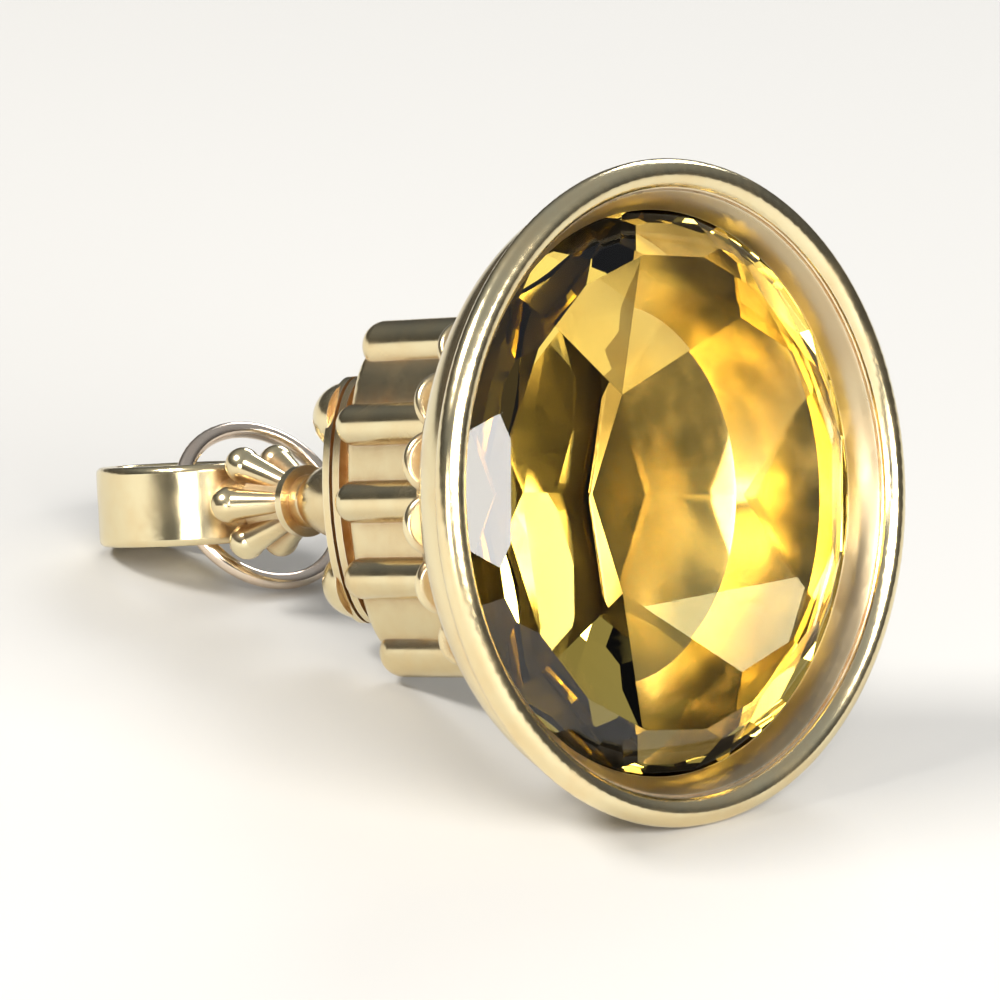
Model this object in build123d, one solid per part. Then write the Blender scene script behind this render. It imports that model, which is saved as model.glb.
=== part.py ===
from build123d import *
import math
import os

# A fob seal of soldered gold with a large oval faceted stone and a wire jump ring.
# Lengths are in millimetres and angles in degrees. It lies on its side, with +Z up and its face
# towards +X. It is built standing on its face and then laid down: while it is built, +Z is the
# depth behind the face, X runs along the shank's width and Y along its thickness. The oval cup and
# its stone are turned a little from the shank, as hand-soldered pieces are.

# Rim and bezel cup
rim_length = 20.0
rim_width = 19.1
rim_bead = 0.9
cup_depth = 5.5
cup_back_length = 12.6
cup_back_wall = 0.4
cup_turn = 4.0

# Stone and its seat
stone_length = 17.5
stone_table_depth = 0.55
stone_crown_height = 1.0
stone_girdle = 0.2
stone_pavilion = 3.2
stone_keel_length = 6.0
crown_angle = 31.0
crown_break_angle = 38.0
star_angle = 17.0
pavilion_break_angle = 50.0
facet_count = 8
girdle_sides = 64
outer_tier_aim = 9.2
outer_tier_steeper = 7.0
inner_tier_flatter = 3.0
seat_clearance = 0.08
seat_overlap = 0.25
seat_floor_length = 10.8

# Gallery of petals around the back of the cup
petal_count = 22
petal_diameter = 1.95
petal_thickness = 0.45
petal_row_length = 13.3
petal_row_depth = 4.45
petal_lean = 35.0

# Reeded shank
shank_length = 8.7
shank_width = 11.2
shank_core_thickness = 3.1
shank_shoulder = 0.5
rib_radius = 0.66
corner_rib_radius = 0.8

# Plate with a grooved edge
plate_gap = 0.3
plate_width = 7.8
plate_thickness = 2.8
plate_edge = 0.32
plate_groove = 0.16
plate_groove_depth = 0.3

# Crown of three domed lobes
lobe_pitch = 2.6
lobe_radius = 1.15
lobe_height = 1.35
middle_lobe_height = 2.5
middle_lobe_radius = 1.3
lobe_sunk = 0.12

# Petalled knop
waist_radius = 0.85
waist_ring_radius = 1.15
waist_ring_thickness = 0.28
knop_length = 3.3
knop_radius = 1.95
knop_petals = 6
knop_petal_radius = 0.58
knop_core_radius = 1.1

# Bail, an oval loop of flat band
bail_length = 6.2
bail_width = 4.4
bail_height = 2.6
bail_band = 0.75
bail_edge = 0.22

# Jump ring
ring_diameter = 6.2
ring_wire = 0.54

# How far the seal rolls about its own axis as it lies
resting_roll = 6.0

# Where the ring's wire passes the middle of the bail's hole, and which way the ring lies from there
ring_pass = (0.88, -0.15, -0.55)
ring_reach = (-0.382, 0.854, -0.353)
ring_axis = (-0.485, 0.14, 0.863)

# Worked-out sizes
half_length = rim_length / 2
oval_difference = (rim_length - rim_width) / 2
bead_radius = rim_bead / 2
girdle_front = stone_table_depth + stone_crown_height
girdle_back = girdle_front + stone_girdle
keel_depth = girdle_back + stone_pavilion
tier_start = girdle_back + 0.1 * stone_pavilion
stone_half = stone_length / 2
opening_half = stone_half - seat_overlap
lip_depth = girdle_front - seat_overlap * math.tan(math.radians(crown_break_angle)) - seat_clearance
shank_start = cup_depth - cup_back_wall / 2
shank_end = shank_start + shank_length
plate_start = shank_end + plate_gap
crown_start = plate_start + 2 * plate_edge + plate_groove
waist_depth = crown_start + middle_lobe_height
knop_end = waist_depth + knop_length
bail_centre = knop_end + bail_length / 2


def oval(half, depth):
    """An oval face parallel to the rim, with the rim's difference between its two axes."""
    return Pos(0, 0, depth) * Ellipse(half, half - oval_difference)


def oval_face(half_x, half_y, depth):
    """An oval face with its own two half axes."""
    return Pos(0, 0, depth) * Ellipse(half_x, half_y)


def oval_disc(half_x, half_y, depth, thickness):
    """A flat oval disc that starts at a depth."""
    return extrude(oval_face(half_x, half_y, depth), thickness)


def dome(radius, height):
    """A domed lobe that stands at the origin, with a short foot below it."""
    rise = [(math.cos(math.radians(angle)), math.sin(math.radians(angle))) for angle in range(0, 90, 15)]
    points = [(radius * across, height * up) for across, up in rise]
    outline = Wire([
        Spline(*points, (0, height), tangents=[(0, 1), (-1, 0)]),
        Line((0, height), (0, -lobe_sunk)),
        Line((0, -lobe_sunk), (radius, -lobe_sunk)),
        Line((radius, -lobe_sunk), (radius, 0)),
    ])
    return revolve(Plane.XZ * make_face(outline), Axis.Z)


def knop_petal(radius, length):
    """A slender bud that stands at the origin: a widening stem with a round tip."""
    stem_length = length - radius
    stem = Pos(0, 0, stem_length / 2) * Cone(0.5 * radius, 0.93 * radius, stem_length)
    return stem + Pos(0, 0, stem_length) * Sphere(radius)


def cup_body():
    """The cup's outer form: a rounded rim and a wall that draws in to the back."""
    centre_line = Pos(0, 0, bead_radius) * Edge.make_ellipse(
        half_length - bead_radius, half_length - oval_difference - bead_radius)
    start = Plane(origin=centre_line @ 0, z_dir=centre_line % 0)
    bead = sweep(start * Circle(bead_radius), path=centre_line)

    # Share of the wall's depth, and share of its draw-in from the bead to the back
    wall_profile = ((0.0, 0.0), (0.13, 0.0), (0.27, 0.05), (0.5, 0.34), (0.76, 0.72), (1.0, 1.0))
    wall_start = half_length - bead_radius
    draw_in = wall_start - cup_back_length / 2
    wall_depth = cup_depth - bead_radius
    sections = [
        oval(wall_start - draw_in * inward, bead_radius + wall_depth * along)
        for along, inward in wall_profile
    ]
    return bead + loft(sections)


def cup_hollow():
    """What is taken out of the cup: the sloping mouth, the seat and the space under the stone."""
    mouth_half = half_length - rim_bead + seat_clearance / 2
    mouth_start = bead_radius - seat_clearance
    mouth_middle = (mouth_half + 2 * opening_half) / 3
    mouth = loft([
        oval(mouth_half, mouth_start),
        oval(mouth_middle, (mouth_start + lip_depth) / 2),
        oval(opening_half, lip_depth),
    ])
    front = extrude(oval(mouth_half, -rim_bead), rim_bead + mouth_start)
    pocket_half = stone_half + seat_clearance
    pocket_depth = girdle_back + seat_clearance
    pocket = extrude(oval(pocket_half, lip_depth), pocket_depth - lip_depth)

    ledge = stone_half - seat_floor_length / 2
    ledge_run = ledge * 0.3
    ledge_drop = ledge_run * math.tan(math.radians(pavilion_break_angle))
    floor_depth = cup_depth - cup_back_wall
    slope = loft([oval(pocket_half, pocket_depth), oval(pocket_half - ledge_run, pocket_depth + ledge_drop)])
    hollow = loft([
        oval(pocket_half - ledge_run, pocket_depth + ledge_drop),
        oval(seat_floor_length / 2, floor_depth),
    ])
    return [front, mouth, pocket, slope, hollow]


def gallery():
    """Round-edged petals in a row around the back of the cup, spreading towards the bail."""
    edge_radius = petal_thickness / 2
    flat = petal_diameter / 2 - edge_radius
    outline = Wire([
        CenterArc((flat, 0), edge_radius, -90, 180),
        Line((flat, edge_radius), (0, edge_radius)),
        Line((0, edge_radius), (0, -edge_radius)),
        Line((0, -edge_radius), (flat, -edge_radius)),
    ])
    petal = revolve(Plane.XZ * make_face(outline), Axis.Z)
    row_half = petal_row_length / 2
    row = Pos(0, 0, petal_row_depth) * Edge.make_ellipse(row_half, row_half - oval_difference)
    lean = math.radians(petal_lean)
    petals = []
    for index in range(petal_count):
        share = index / petal_count
        outward = (row % share).cross(Vector(0, 0, 1))
        facing = outward * math.sin(lean) - Vector(0, 0, math.cos(lean))
        petals.append(Plane(origin=row @ share, z_dir=facing) * petal)
    return petals


def cup():
    """The cup with its gallery, hollowed for the stone."""
    body = cup_body() + gallery()
    for hollow in cup_hollow():
        body -= hollow
    return Rot(0, 0, cup_turn) * body


def rib(x, y, radius):
    """A round rib along the shank that ends in a dome."""
    length = shank_length - radius
    straight = Pos(x, y, shank_start + length / 2) * Cylinder(radius, length)
    return straight + Pos(x, y, shank_start + length) * Sphere(radius)


def shank():
    """A flattened oval core with a rounded end, and round ribs along both sides and its edges."""
    half_x = shank_width / 2 - corner_rib_radius
    half_y = shank_core_thickness / 2
    core = oval_disc(half_x, half_y, shank_start, shank_length)
    core = fillet(core.edges().group_by(Axis.Z)[-1], shank_shoulder)
    ribs = [rib(side * half_x, 0, corner_rib_radius) for side in (1, -1)]
    for side in (1, -1):
        for x in (-half_x / 2, 0, half_x / 2):
            ribs.append(rib(x, side * half_y * math.sqrt(1 - (x / half_x) ** 2), rib_radius))
    return core + ribs


def plate():
    """Two thin oval discs with a groove between them, on a narrower neck."""
    half_x = plate_width / 2
    half_y = plate_thickness / 2
    inner_x = half_x - plate_groove_depth
    inner_y = half_y - plate_groove_depth
    spine = oval_disc(inner_x, inner_y, shank_end, crown_start - shank_end)
    front_disc = oval_disc(half_x, half_y, plate_start, plate_edge)
    back_disc = oval_disc(half_x, half_y, crown_start - plate_edge, plate_edge)
    return [spine, front_disc, back_disc]


def crown():
    """Three domed lobes in a row on the plate, the middle one rising to the waist."""
    foot = Pos(0, 0, crown_start)
    sides = [foot * Pos(side * lobe_pitch, 0, 0) * dome(lobe_radius, lobe_height) for side in (-1, 1)]
    return [foot * dome(middle_lobe_radius, middle_lobe_height)] + sides


def knop():
    """A small core ringed by leaf-shaped petals that spread towards the bail."""
    core_start = waist_depth - 0.3 * middle_lobe_height
    core_end = knop_end + bail_band / 2
    # Share of the knop's length, and radius
    core_profile = ((0.16, waist_radius), (0.55, knop_core_radius), (0.85, waist_radius))
    points = [(radius, waist_depth + along * knop_length) for along, radius in core_profile]
    outline = Polyline(
        (0, core_start), (waist_radius, core_start), *points, (waist_radius, core_end), (0, core_end),
        close=True)
    core = revolve(Plane.XZ * make_face(outline), Axis.Z)
    ring = Pos(0, 0, waist_depth) * Cylinder(waist_ring_radius, waist_ring_thickness)

    # Each petal runs from the waist to the knop's full radius
    root = Vector(waist_radius - knop_petal_radius / 2, 0, waist_depth + waist_ring_thickness)
    tip = Vector(knop_radius - knop_petal_radius / 2, 0, waist_depth + 0.8 * knop_length)
    reach = tip - root
    petal = Plane(origin=root, z_dir=reach) * knop_petal(knop_petal_radius, reach.length)
    petals = [Rot(0, 0, (index + 0.5) * 360 / knop_petals) * petal for index in range(knop_petals)]
    return [core, ring] + petals


def bail():
    """An oval loop of flat band with softened edges. Its hole runs along the oval's long axis."""
    middle = Plane(origin=(-bail_height / 2, 0, bail_centre), x_dir=(0, 0, 1), z_dir=(1, 0, 0))
    outer = middle * Ellipse(bail_length / 2, bail_width / 2)
    inner = middle * Ellipse(bail_length / 2 - bail_band, bail_width / 2 - bail_band)
    band = extrude(outer - inner, bail_height)
    rims = band.edges().filter_by(GeomType.ELLIPSE)
    return fillet(rims, min(bail_edge, 0.45 * bail_band))


def seal_mount():
    """All the soldered gold as one solid."""
    mount = cup()
    for piece in [shank()] + plate() + crown() + knop() + [bail()]:
        mount += piece
    return mount


def facet(azimuth, angle, half_x, half_y, depth, towards_face):
    """A cutting plane that leans in from the oval of the given half axes at a depth."""
    around = math.radians(azimuth)
    lean = math.radians(angle)
    reach = math.hypot(half_x * math.cos(around), half_y * math.sin(around))
    axial = -math.cos(lean) if towards_face else math.cos(lean)
    normal = (math.cos(around) * math.sin(lean), math.sin(around) * math.sin(lean), axial)
    return Plane(origin=(reach * math.cos(around), reach * math.sin(around), depth), z_dir=normal)


def crown_facets(half_x, half_y):
    """The table's surround: narrow breaks at the girdle, main facets and small star facets."""
    run = stone_crown_height / math.tan(math.radians(crown_angle))
    planes = []
    for index in range(4 * facet_count):
        azimuth = (index + 0.5) * 90 / facet_count
        planes.append(facet(azimuth, crown_break_angle, half_x, half_y, girdle_front, True))
    for index in range(facet_count):
        azimuth = index * 360 / facet_count
        planes.append(facet(azimuth, crown_angle, half_x, half_y, girdle_front, True))
        between = azimuth + 180 / facet_count
        planes.append(facet(between, star_angle, half_x - run, half_y - run, stone_table_depth, True))
    return planes


def tier_facet(azimuth, aim_length, steeper, half_x, half_y):
    """A pavilion facet aimed from the girdle at the nearer end of a keel, then made steeper."""
    around = math.radians(azimuth)
    reach = math.hypot(half_x * math.cos(around), half_y * math.sin(around))
    run = reach - aim_length / 2 * abs(math.cos(around))
    angle = math.degrees(math.atan2(keel_depth - tier_start, run)) + steeper
    return facet(azimuth, angle, half_x, half_y, tier_start, False)


def pavilion_facets(half_x, half_y):
    """Narrow breaks at the girdle, an outer tier of facets, and an inner tier set between them."""
    planes = []
    for index in range(4 * facet_count):
        azimuth = (index + 0.5) * 90 / facet_count
        planes.append(facet(azimuth, pavilion_break_angle, half_x, half_y, girdle_back, False))
    for index in range(facet_count):
        azimuth = index * 360 / facet_count
        planes.append(tier_facet(azimuth, outer_tier_aim, outer_tier_steeper, half_x, half_y))

        # An inner facet is flatter than one aimed at the keel, and goes through the keel's end
        between = azimuth + 180 / facet_count
        flatter = tier_facet(between, stone_keel_length, -inner_tier_flatter, half_x, half_y)
        side = math.copysign(stone_keel_length / 2, math.cos(math.radians(between)))
        planes.append(Plane(origin=(side, 0, keel_depth), z_dir=flatter.z_dir))
    return planes


def citrine():
    """The oval stone: a table, a crown, a round girdle and a pavilion that ends in a keel."""
    half_x = stone_half
    half_y = stone_half - oval_difference
    planes = crown_facets(half_x, half_y) + pavilion_facets(half_x, half_y)

    # The girdle's flats stand in from the oval, so that its corners are on the oval
    inward = math.cos(math.pi / girdle_sides)
    for index in range(girdle_sides):
        azimuth = (index + 0.5) * 360 / girdle_sides
        planes.append(facet(azimuth, 90, half_x * inward, half_y * inward, girdle_front, True))
    thickness = keel_depth - stone_table_depth
    stone = Pos(0, 0, stone_table_depth + thickness / 2) * Box(2 * stone_length, 2 * stone_length, thickness)
    for plane in planes:
        stone = split(stone, bisect_by=plane, keep=Keep.BOTTOM)
    return Rot(0, 0, cup_turn) * stone


def jump_ring():
    """A round wire ring that passes through the bail and stands beside the knop."""
    middle_radius = (ring_diameter - ring_wire) / 2
    middle = Vector(0, 0, bail_centre) + Vector(ring_pass) + Vector(ring_reach).normalized() * middle_radius
    return Plane(origin=middle, z_dir=ring_axis) * Torus(middle_radius, ring_wire / 2)


def resting_tilt():
    """The angle at which the rim and the bail's rounded end touch the ground together."""
    rim_roll = math.radians(resting_roll + cup_turn)
    roll = math.radians(resting_roll)
    edge = min(bail_edge, 0.45 * bail_band)
    rim_half = half_length - bead_radius
    rim_reach = math.hypot(rim_half * math.cos(rim_roll), (rim_half - oval_difference) * math.sin(rim_roll))

    def rim_minus_bail(lean):
        rim = rim_reach * math.cos(lean) + bead_radius * math.sin(lean) + bead_radius
        sideways = math.sin(roll) * math.cos(lean)
        onward = math.sin(lean)
        round_end = math.hypot(bail_width / 2 * sideways, bail_length / 2 * onward)
        end = round_end - edge * math.hypot(sideways, onward) + edge
        side = (bail_height / 2 - edge) * math.cos(roll) * math.cos(lean)
        return rim - (side + bail_centre * onward + end)

    # The difference falls steadily as the seal tips, so halving the range finds where it is nil
    low_angle, high_angle = 0.0, math.pi / 4
    for _ in range(50):
        middle = (low_angle + high_angle) / 2
        if rim_minus_bail(middle) > 0:
            low_angle = middle
        else:
            high_angle = middle
    return math.degrees(low_angle)


def lay_down(shape, tilt):
    """Roll a shape about the seal's axis and turn it on to its side, face up by the tilt."""
    lean = math.radians(tilt)
    side = Plane(
        origin=(0, 0, 0),
        x_dir=(-math.sin(lean), 0, math.cos(lean)),
        z_dir=(-math.cos(lean), 0, -math.sin(lean)))
    return side * Rot(0, 0, resting_roll) * shape


tilt = resting_tilt()
pieces = {"seal_mount": seal_mount(), "citrine": citrine(), "jump_ring": jump_ring()}
laid = {name: lay_down(shape, tilt) for name, shape in pieces.items()}

# The origin goes to the middle of the ground under the whole seal
boxes = [shape.bounding_box() for shape in laid.values()]
low = [min(getattr(box.min, axis) for box in boxes) for axis in "XYZ"]
high = [max(getattr(box.max, axis) for box in boxes) for axis in "XYZ"]
shift = Pos(-(low[0] + high[0]) / 2, -(low[1] + high[1]) / 2, -low[2])
os.makedirs("parts", exist_ok=True)
for name, shape in laid.items():
    export_step(shift * shape, f"parts/{name}.step")
print(f"tilt {tilt:.3f} degrees, middle of the face at {shift.position}")
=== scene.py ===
import bpy
import math
from mathutils import Matrix, Vector

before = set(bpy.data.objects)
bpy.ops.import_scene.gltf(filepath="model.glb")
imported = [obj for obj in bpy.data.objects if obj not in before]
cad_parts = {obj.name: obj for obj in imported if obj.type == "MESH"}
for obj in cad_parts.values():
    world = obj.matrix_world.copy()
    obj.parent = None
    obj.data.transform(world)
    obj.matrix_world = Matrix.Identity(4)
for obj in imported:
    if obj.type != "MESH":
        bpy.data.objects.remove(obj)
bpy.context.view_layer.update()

print("frame loaded")


# camera

# lengths in metres, angles in degrees
cameraValues = {
    "aim": (0.01112, 0.0, 0.00951),         # middle of the rim
    "azimuth": 45.587,
    "elevation": 19.502,
    "roll": 5.0,
    "distance": 0.194204,
    "shiftRight": 0.00615,                  # from the camera's line to the aim
    "shiftUp": 0.001588,
    "centre": (0.0019, 0.0017, 0.0061),     # what stands in the middle of the picture
    "lens": 234.0,                          # in millimetres, as the sensor is
    "sensor": 36.0,
    "clip": (0.01, 5.0),
}


def addCamera(values):
    azimuth = math.radians(values["azimuth"])
    elevation = math.radians(values["elevation"])
    roll = math.radians(values["roll"])
    back = Vector((
        math.sin(azimuth) * math.cos(elevation),
        -math.cos(azimuth) * math.cos(elevation),
        math.sin(elevation)))
    right = Vector((math.cos(azimuth), math.sin(azimuth), 0))
    up = back.cross(right)
    turnedRight = math.cos(roll) * right + math.sin(roll) * up
    turnedUp = math.cos(roll) * up - math.sin(roll) * right
    place = Vector(values["aim"]) + back * values["distance"]
    place -= turnedRight * values["shiftRight"] + turnedUp * values["shiftUp"]

    look = (Vector(values["centre"]) - place).normalized()
    side = look.cross(turnedUp).normalized()
    top = side.cross(look)
    data = bpy.data.cameras.new("camera")
    data.lens = values["lens"]
    data.sensor_width = values["sensor"]
    data.clip_start, data.clip_end = values["clip"]
    data.dof.use_dof = False
    camera = bpy.data.objects.new("camera", data)
    bpy.context.scene.collection.objects.link(camera)
    turn = Matrix((side, top, -look)).transposed()
    camera.matrix_world = Matrix.Translation(place) @ turn.to_4x4()
    bpy.context.scene.camera = camera


addCamera(cameraValues)
print("camera placed")


# floor and light

stageValues = {
    "floorSize": 1.6,
    "floorDrop": 0.00002,
    "floorColour": (0.46, 0.45, 0.43, 1),
    "floorRoughness": 0.7,
    "skyLow": (0.02, (0.13, 0.115, 0.10, 1)),       # height from 0 to 1, and colour there
    "skyMiddle": (0.3, (0.22, 0.23, 0.25, 1)),
    "skyTop": (0.8, (0.74, 0.77, 0.82, 1)),
    "skyStrength": 0.42,
}

# name: place, aim, width, height, power, colour
lightValues = {
    "keyLight": ((-0.16, -0.30, 0.36), (0, 0, 0.01), 0.17, 0.12, 2.8, (1.0, 0.98, 0.95)),
    "sideLight": ((0.42, -0.04, 0.22), (0.01, 0, 0.01), 0.28, 0.24, 3.1, (1.0, 0.98, 0.95)),
    "backLight": ((-0.22, 0.40, 0.30), (0, 0, 0.01), 0.26, 0.14, 1.2, (0.94, 0.97, 1.0)),
    "frontLight": ((0.20, -0.42, 0.10), (0, 0, 0.01), 0.20, 0.14, 0.7, (1.0, 0.98, 0.95)),
    "stoneLight": ((0.34, -0.24, 0.27), (0.01, 0, 0.01), 0.16, 0.12, 1.4, (1.0, 0.98, 0.94)),
}


def addFloor(values):
    bpy.ops.mesh.primitive_plane_add(
        size=values["floorSize"], location=(0, 0, -values["floorDrop"]))
    floor = bpy.context.active_object
    floor.name = "floor"
    material = bpy.data.materials.new("floorPaper")
    material.use_nodes = True
    shader = material.node_tree.nodes["Principled BSDF"]
    shader.inputs["Base Color"].default_value = values["floorColour"]
    shader.inputs["Roughness"].default_value = values["floorRoughness"]
    floor.data.materials.append(material)


def addArea(name, place, aim, width, height, power, colour):
    data = bpy.data.lights.new(name, "AREA")
    data.shape = "RECTANGLE"
    data.size = width
    data.size_y = height
    data.energy = power
    data.color = colour
    light = bpy.data.objects.new(name, data)
    bpy.context.scene.collection.objects.link(light)
    look = (Vector(aim) - Vector(place)).normalized()
    turn = look.to_track_quat("-Z", "Y").to_matrix().to_4x4()
    light.matrix_world = Matrix.Translation(Vector(place)) @ turn


def addSky(values):
    world = bpy.data.worlds.new("studio")
    bpy.context.scene.world = world
    world.use_nodes = True
    nodes, links = world.node_tree.nodes, world.node_tree.links
    nodes.clear()
    coordinate = nodes.new("ShaderNodeTexCoord")
    split = nodes.new("ShaderNodeSeparateXYZ")
    ramp = nodes.new("ShaderNodeValToRGB")
    background = nodes.new("ShaderNodeBackground")
    output = nodes.new("ShaderNodeOutputWorld")
    stops = ramp.color_ramp.elements
    stops[0].position, stops[0].color = values["skyLow"]
    stops[1].position, stops[1].color = values["skyTop"]
    height, colour = values["skyMiddle"]
    stops.new(height).color = colour
    background.inputs["Strength"].default_value = values["skyStrength"]
    links.new(coordinate.outputs["Generated"], split.inputs[0])
    links.new(split.outputs["Z"], ramp.inputs["Fac"])
    links.new(ramp.outputs["Color"], background.inputs["Color"])
    links.new(background.outputs["Background"], output.inputs["Surface"])


addFloor(stageValues)
addSky(stageValues)
for lightName, settings in lightValues.items():
    addArea(lightName, *settings)
bpy.context.scene.view_settings.view_transform = "Standard"
print("floor and light set")


# shared effects

def newGroup(name, inputs, outputs):
    tree = bpy.data.node_groups.new(name, "ShaderNodeTree")
    for label, kind, value in inputs:
        socket = tree.interface.new_socket(name=label, in_out="INPUT", socket_type=kind)
        if value is not None:
            socket.default_value = value
    for label, kind in outputs:
        tree.interface.new_socket(name=label, in_out="OUTPUT", socket_type=kind)
    return tree, tree.nodes.new("NodeGroupInput"), tree.nodes.new("NodeGroupOutput")


def addMath(tree, operation, first, second=None, clamp=False):
    node = tree.nodes.new("ShaderNodeMath")
    node.operation = operation
    node.use_clamp = clamp
    for socket, value in zip(node.inputs, (first, second)):
        if isinstance(value, bpy.types.NodeSocket):
            tree.links.new(value, socket)
        elif value is not None:
            socket.default_value = value
    return node.outputs[0]


def addRange(tree, value, low, high, newLow=0.0, newHigh=1.0):
    node = tree.nodes.new("ShaderNodeMapRange")
    tree.links.new(value, node.inputs["Value"])
    settings = {"From Min": low, "From Max": high, "To Min": newLow, "To Max": newHigh}
    for label, number in settings.items():
        if isinstance(number, bpy.types.NodeSocket):
            tree.links.new(number, node.inputs[label])
        else:
            node.inputs[label].default_value = number
    return node.outputs["Result"]


def addNoise(tree, vector, scale, detail, roughness=0.5):
    node = tree.nodes.new("ShaderNodeTexNoise")
    tree.links.new(vector, node.inputs["Vector"])
    if isinstance(scale, bpy.types.NodeSocket):
        tree.links.new(scale, node.inputs["Scale"])
    else:
        node.inputs["Scale"].default_value = scale
    node.inputs["Detail"].default_value = detail
    node.inputs["Roughness"].default_value = roughness
    return node.outputs["Fac"]


def addStretch(tree, vector, turn, stretch):
    node = tree.nodes.new("ShaderNodeMapping")
    tree.links.new(vector, node.inputs["Vector"])
    node.inputs["Rotation"].default_value = turn
    node.inputs["Scale"].default_value = stretch
    return node.outputs["Vector"]


def addDot(tree, first, second):
    node = tree.nodes.new("ShaderNodeVectorMath")
    node.operation = "DOT_PRODUCT"
    for socket, value in zip(node.inputs, (first, second)):
        if isinstance(value, bpy.types.NodeSocket):
            tree.links.new(value, socket)
        else:
            socket.default_value = value
    return node.outputs["Value"]


# rays that each edge or groove test sends out; more are smoother and slower
testRays = 2

edgeValues = {
    "reach": 0.00009,
    "gain": 5.0,
}


def makeWornEdge(values):
    # bright rub where two faces meet outwards
    tree, given, result = newGroup(
        "wornEdge",
        [("Reach", "NodeSocketFloat", values["reach"]),
         ("Gain", "NodeSocketFloat", values["gain"])],
        [("Edge", "NodeSocketFloat")])
    bevel = tree.nodes.new("ShaderNodeBevel")
    bevel.samples = testRays
    tree.links.new(given.outputs["Reach"], bevel.inputs["Radius"])
    geometry = tree.nodes.new("ShaderNodeNewGeometry")
    likeness = addDot(tree, bevel.outputs["Normal"], geometry.outputs["Normal"])
    bend = addMath(tree, "SUBTRACT", 1.0, likeness)
    edge = addMath(tree, "MULTIPLY", bend, given.outputs["Gain"], clamp=True)
    tree.links.new(edge, result.inputs["Edge"])
    return tree


creviceValues = {
    "reach": 0.0010,
    "open": 0.94,                   # openness at which the film and painted shade begin
    "shut": 0.58,                   # and at which they are whole
    "patchScale": 900.0,
    "patchDetail": 3.0,
    "patchRoughness": 0.6,
    "patchContrast": (0.3, 0.7),
    "thinnest": 0.45,
}


def makeCrevice(values):
    # tarnish film in corners and grooves, deepened there as painted shade, broken up by a noise
    tree, given, result = newGroup(
        "creviceFilmAndShade",
        [("Vector", "NodeSocketVector", None),
         ("Reach", "NodeSocketFloat", values["reach"]),
         ("Patch Scale", "NodeSocketFloat", values["patchScale"]),
         ("Open", "NodeSocketFloat", values["open"]),
         ("Shut", "NodeSocketFloat", values["shut"])],
        [("FilmAndShade", "NodeSocketFloat")])
    occlusion = tree.nodes.new("ShaderNodeAmbientOcclusion")
    occlusion.samples = testRays
    occlusion.only_local = True
    tree.links.new(given.outputs["Reach"], occlusion.inputs["Distance"])
    shade = addRange(
        tree, occlusion.outputs["AO"], given.outputs["Open"], given.outputs["Shut"])
    patches = addNoise(
        tree, given.outputs["Vector"], given.outputs["Patch Scale"],
        values["patchDetail"], values["patchRoughness"])
    broken = addRange(tree, patches, *values["patchContrast"], values["thinnest"], 1.0)
    tree.links.new(addMath(tree, "MULTIPLY", shade, broken, clamp=True), result.inputs["FilmAndShade"])
    return tree


# turn and stretch of the fine lines in each direction, and the noise heights that show as lines
polishValues = {
    "lines": (
        ((0.3, 0.2, 0.5), (1.0, 0.06, 0.5), (0.58, 0.72)),
        ((-0.5, 0.9, -0.4), (0.07, 1.0, 0.4), (0.60, 0.74)),
    ),
    "lineScale": 2600.0,
    "lineDetail": 2.0,
    "swellScale": 260.0,
    "swellDetail": 1.5,
    "smudgeFiner": 2.3,             # smudges to one swell
    "smudgeDetail": 4.0,
    "smudgeRoughness": 0.6,
    "smudgeContrast": (0.4, 0.75),
}


def makeHandling(values):
    # fine rubbed lines in two directions, and the slow unevenness of hand polishing
    tree, given, result = newGroup(
        "handPolish",
        [("Vector", "NodeSocketVector", None),
         ("Line Scale", "NodeSocketFloat", values["lineScale"]),
         ("Swell Scale", "NodeSocketFloat", values["swellScale"])],
        [("Lines", "NodeSocketFloat"), ("Swell", "NodeSocketFloat"),
         ("Smudge", "NodeSocketFloat")])
    vector = given.outputs["Vector"]
    strokes = []
    for turn, stretch, heights in values["lines"]:
        drawn = addStretch(tree, vector, turn, stretch)
        noise = addNoise(tree, drawn, given.outputs["Line Scale"], values["lineDetail"])
        strokes.append(addRange(tree, noise, *heights))
    tree.links.new(addMath(tree, "MAXIMUM", *strokes), result.inputs["Lines"])

    swell = addNoise(tree, vector, given.outputs["Swell Scale"], values["swellDetail"])
    tree.links.new(swell, result.inputs["Swell"])

    scale = addMath(tree, "MULTIPLY", given.outputs["Swell Scale"], values["smudgeFiner"])
    clouds = addNoise(tree, vector, scale, values["smudgeDetail"], values["smudgeRoughness"])
    smudge = addRange(tree, clouds, *values["smudgeContrast"])
    tree.links.new(smudge, result.inputs["Smudge"])
    return tree


# the slope between rim and stone, an oval that leans as the seal lies
mouthValues = {
    "middle": (0.011547, 0.0, 0.009651),    # of the rim's front
    "longWay": (-0.30738, 0.17365, 0.93562),
    "shortWay": (0.0542, 0.98481, -0.16497),
    "inward": (-0.95005, 0.0, -0.31212),
    "shortStretch": 1.052,                  # long half axis over short half axis
    "outerRadius": 0.0093,
    "start": 0.00028,                       # depth behind the rim's front
    "end": 0.0016,
    "startFade": 0.00025,
    "endFade": 0.0001,
    "cupRadius": 0.01068,                   # cone between the cup's inner and outer walls
    "cupDrawIn": 0.85,
    "cupFloor": 0.0052,
}


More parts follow.
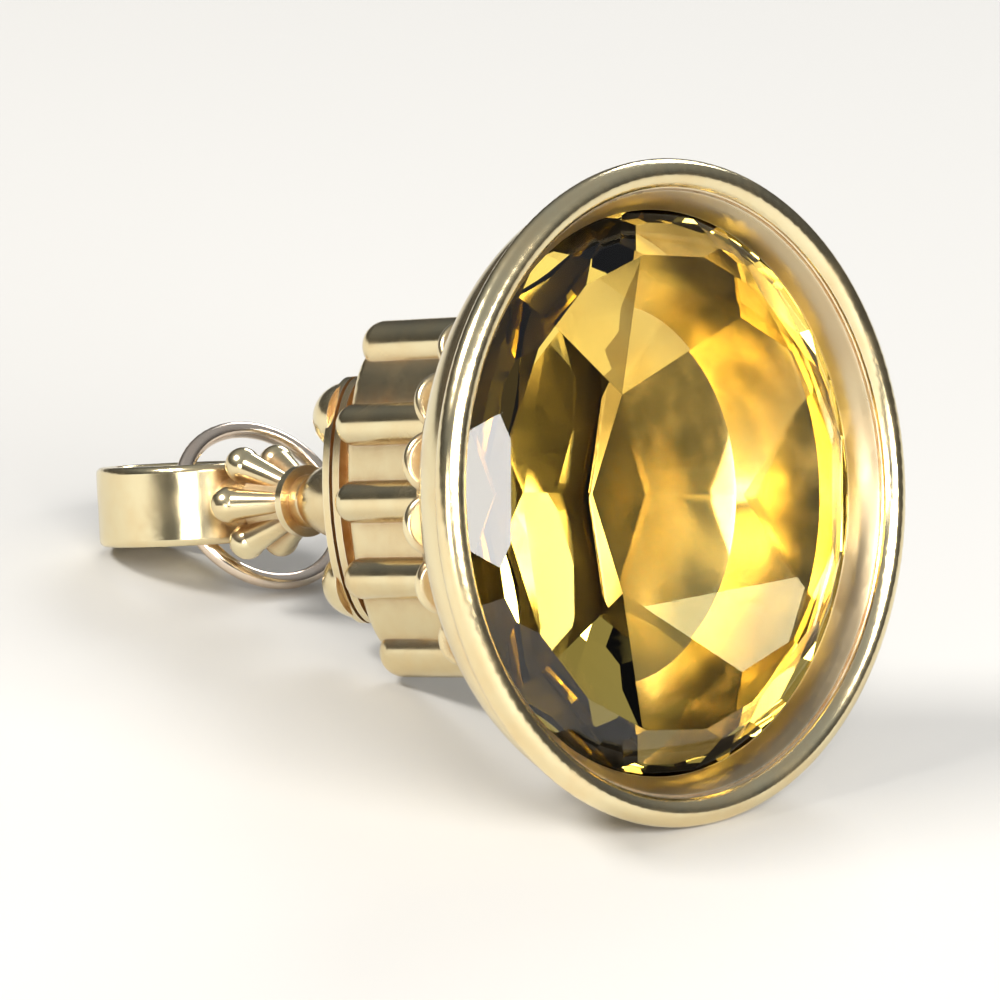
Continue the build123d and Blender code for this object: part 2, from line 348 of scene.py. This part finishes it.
def makeMouth(values):
    # Mouth is one on the slope inside the rim, where painted shade is laid; the other output is
    # one in the cup behind the stone, which is kept free of film and painted shade
    tree, given, result = newGroup(
        "mouthSlope", [("Vector", "NodeSocketVector", None)],
        [("Mouth", "NodeSocketFloat"), ("BehindStone", "NodeSocketFloat")])
    offset = tree.nodes.new("ShaderNodeVectorMath")
    offset.operation = "SUBTRACT"
    tree.links.new(given.outputs["Vector"], offset.inputs[0])
    offset.inputs[1].default_value = values["middle"]
    along, across, depth = (
        addDot(tree, offset.outputs["Vector"], values[way])
        for way in ("longWay", "shortWay", "inward"))
    rounded = addMath(tree, "MULTIPLY", across, values["shortStretch"])
    alongSquare = addMath(tree, "MULTIPLY", along, along)
    acrossSquare = addMath(tree, "MULTIPLY", rounded, rounded)
    radius = addMath(tree, "SQRT", addMath(tree, "ADD", alongSquare, acrossSquare))

    outer, start, end = values["outerRadius"], values["start"], values["end"]
    inside = addRange(tree, radius, outer, outer - values["startFade"])
    begun = addRange(tree, depth, start, start + values["startFade"])
    above = addRange(tree, depth, end, end - values["endFade"])
    mouth = addMath(tree, "MULTIPLY", addMath(tree, "MULTIPLY", inside, begun), above)
    tree.links.new(mouth, result.inputs["Mouth"])

    narrowing = addMath(tree, "MULTIPLY", depth, values["cupDrawIn"])
    wall = addMath(tree, "SUBTRACT", values["cupRadius"], narrowing)
    enclosed = addMath(tree, "LESS_THAN", radius, wall)
    behind = addMath(tree, "GREATER_THAN", depth, end)
    before = addMath(tree, "LESS_THAN", depth, values["cupFloor"])
    behindStone = addMath(tree, "MULTIPLY", addMath(tree, "MULTIPLY", enclosed, behind), before)
    tree.links.new(behindStone, result.inputs["BehindStone"])
    return tree


wornEdge = makeWornEdge(edgeValues)
creviceFilmAndShade = makeCrevice(creviceValues)
handPolish = makeHandling(polishValues)
mouthSlope = makeMouth(mouthValues)
print("shared effects made")


# finishes

def newMaterial(name):
    material = bpy.data.materials.new(name)
    material.use_nodes = True
    return material, material.node_tree, material.node_tree.nodes["Principled BSDF"]


def placeGroup(tree, group, vector=None, **values):
    node = tree.nodes.new("ShaderNodeGroup")
    node.node_tree = group
    if vector is not None:
        tree.links.new(vector, node.inputs["Vector"])
    for label, value in values.items():     # an underscore stands for a space
        node.inputs[label.replace("_", " ")].default_value = value
    return node


def addMix(tree, factor, first, second):
    node = tree.nodes.new("ShaderNodeMix")
    node.data_type = "RGBA"
    for label, value in (("Factor", factor), ("A", first), ("B", second)):
        kind = "NodeSocketFloatFactor" if label == "Factor" else "NodeSocketColor"
        socket = next(s for s in node.inputs if s.name == label and s.bl_idname == kind)
        if isinstance(value, bpy.types.NodeSocket):
            tree.links.new(value, socket)
        else:
            socket.default_value = value
    return next(s for s in node.outputs if s.bl_idname == "NodeSocketColor")


def addBump(tree, height, strength, distance, normal=None):
    node = tree.nodes.new("ShaderNodeBump")
    node.inputs["Strength"].default_value = strength
    node.inputs["Distance"].default_value = distance
    tree.links.new(height, node.inputs["Height"])
    if normal is not None:
        tree.links.new(normal, node.inputs["Normal"])
    return node.outputs["Normal"]


goldValues = {
    "colour": (0.86, 0.75, 0.47, 1),
    "warmPatch": (0.83, 0.66, 0.37, 1),
    "edge": (0.98, 0.93, 0.76, 1),
    # rosy brown film for grooves and corners, part tarnish and part painted shade
    "filmAndShade": (0.42, 0.23, 0.09, 1),
    # olive brown painted shade for broad hollows and the slope inside the rim, then its share
    # and added roughness
    "paintedShade": (0.40, 0.31, 0.19, 1),
    "shadeShare": 0.5,
    "dullRoughness": 0.16,
    "roughness": 0.16,
    "smudgeRoughness": 0.26,
    "filmRoughness": 0.5,
    "lineDepth": 0.000003,
    "swellDepth": 0.00006,
}

# a paler, pinker gold
ringValues = {
    "colour": (0.88, 0.76, 0.62, 1),
    "warmPatch": (0.84, 0.66, 0.52, 1),
    "edge": (0.97, 0.92, 0.84, 1),
    # darker film for grooves and corners, part tarnish and part painted shade
    "filmAndShade": (0.26, 0.16, 0.12, 1),
    # painted shade colour for broad hollows and the slope inside the rim, then its share and
    # added roughness
    "paintedShade": (0.60, 0.48, 0.40, 1),
    "shadeShare": 0.4,
    "dullRoughness": 0.10,
    "roughness": 0.16,
    "smudgeRoughness": 0.30,
    "filmRoughness": 0.5,
    "lineDepth": 0.000003,
    "swellDepth": 0.00003,
}

# what both golds share
wearAndShadeValues = {
    "hollowReach": 0.003,           # broad painted shade in hollows, by the same test as the fine grooves
    "hollowPatches": 420.0,
    "hollowOpen": 0.9,
    "hollowShut": 0.5,
    # noise heights and thinnest part of the painted shade on the slope inside the rim
    "mouthShadeHeights": (0.35, 0.6),
    "mouthShadeThinnest": 0.75,
    "swellStrength": 0.5,
    "lineStrength": 0.3,
}


def makeGold(name, values, wearAndShade):
    material, tree, shader = newMaterial(name)
    vector = tree.nodes.new("ShaderNodeTexCoord").outputs["Object"]
    polish = placeGroup(tree, handPolish, vector)
    edge = placeGroup(tree, wornEdge).outputs["Edge"]
    region = placeGroup(tree, mouthSlope, vector)
    # zero in the cup behind the stone, so neither film nor painted shade shows through the
    # stone
    notBehindStone = addMath(tree, "SUBTRACT", 1.0, region.outputs["BehindStone"])
    # fine occlusion film in grooves and corners, part tarnish and part painted shade
    groove = placeGroup(tree, creviceFilmAndShade, vector)
    filmAndShade = addMath(tree, "MULTIPLY", groove.outputs["FilmAndShade"], notBehindStone)

    # broad occlusion in hollows, laid on below as painted shade
    hollow = placeGroup(
        tree, creviceFilmAndShade, vector, Reach=wearAndShade["hollowReach"], Patch_Scale=wearAndShade["hollowPatches"],
        Open=wearAndShade["hollowOpen"], Shut=wearAndShade["hollowShut"])
    shaded = addMath(tree, "MULTIPLY", hollow.outputs["FilmAndShade"], values["shadeShare"])
    # painted shade on the slope inside the rim, broken up by the swell noise
    uneven = addRange(
        tree, polish.outputs["Swell"], *wearAndShade["mouthShadeHeights"], wearAndShade["mouthShadeThinnest"], 1.0)
    mouthShade = addMath(tree, "MULTIPLY", region.outputs["Mouth"], uneven)
    # painted shade mask: broad hollows and the slope inside the rim, kept out of the cup behind
    # the stone
    paintedShade = addMath(tree, "MULTIPLY", addMath(tree, "MAXIMUM", mouthShade, shaded), notBehindStone)

    warm = addMix(tree, polish.outputs["Smudge"], values["colour"], values["warmPatch"])
    # mix in the painted shade colour
    shadedColour = addMix(tree, paintedShade, warm, values["paintedShade"])
    rubbed = addMix(tree, edge, shadedColour, values["edge"])
    # lay the groove film over everything: part tarnish, part painted shade
    colour = addMix(tree, filmAndShade, rubbed, values["filmAndShade"])
    tree.links.new(colour, shader.inputs["Base Color"])

    roughness = addRange(
        tree, polish.outputs["Smudge"], 0.0, 1.0,
        values["roughness"], values["smudgeRoughness"])
    dullness = addMath(tree, "MULTIPLY", paintedShade, values["dullRoughness"])
    satin = addMath(tree, "ADD", roughness, dullness)
    filmed = addRange(tree, filmAndShade, 0.0, 1.0, satin, values["filmRoughness"])
    tree.links.new(filmed, shader.inputs["Roughness"])
    shader.inputs["Metallic"].default_value = 1.0

    swell = addBump(
        tree, polish.outputs["Swell"], wearAndShade["swellStrength"], values["swellDepth"])
    lines = addBump(
        tree, polish.outputs["Lines"], wearAndShade["lineStrength"], values["lineDepth"], swell)
    tree.links.new(lines, shader.inputs["Normal"])
    return material


citrineValues = {
    "colour": (1.0, 0.985, 0.94, 1),
    "zone": (1.0, 0.95, 0.82, 1),
    "zoneTurn": (0.4, 0.1, 0.3),
    "zoneStretch": (1.0, 0.3, 0.3),
    "zoneScale": 220.0,
    "zoneDetail": 1.0,
    "zoneContrast": (0.35, 0.65),
    "index": 1.55,                  # how strongly it bends light
    "absorption": (1.0, 0.89, 0.30, 1),
    "density": 140.0,               # a thicker stone is deeper in colour
    "scratchScale": 3200.0,
    "scratchRoughness": 0.035,
}


def makeCitrine(values):
    material, tree, shader = newMaterial("citrineFacets")
    vector = tree.nodes.new("ShaderNodeTexCoord").outputs["Object"]
    drawn = addStretch(tree, vector, values["zoneTurn"], values["zoneStretch"])
    zones = addNoise(tree, drawn, values["zoneScale"], values["zoneDetail"])
    banded = addRange(tree, zones, *values["zoneContrast"])
    colour = addMix(tree, banded, values["colour"], values["zone"])
    tree.links.new(colour, shader.inputs["Base Color"])

    marks = placeGroup(tree, handPolish, vector, Line_Scale=values["scratchScale"])
    scratched = addMath(tree, "MULTIPLY", marks.outputs["Lines"], values["scratchRoughness"])
    tree.links.new(scratched, shader.inputs["Roughness"])

    shader.inputs["IOR"].default_value = values["index"]
    shader.inputs["Transmission Weight"].default_value = 1.0
    absorb = tree.nodes.new("ShaderNodeVolumeAbsorption")
    absorb.inputs["Color"].default_value = values["absorption"]
    absorb.inputs["Density"].default_value = values["density"]
    tree.links.new(absorb.outputs["Volume"], tree.nodes["Material Output"].inputs["Volume"])
    return material


def setMaterial(node, material):
    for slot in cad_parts[node].material_slots:
        slot.material = material


setMaterial("seal_mount", makeGold("sealGold", goldValues, wearAndShadeValues))
setMaterial("jump_ring", makeGold("ringGold", ringValues, wearAndShadeValues))
setMaterial("citrine", makeCitrine(citrineValues))
print("finishes set")
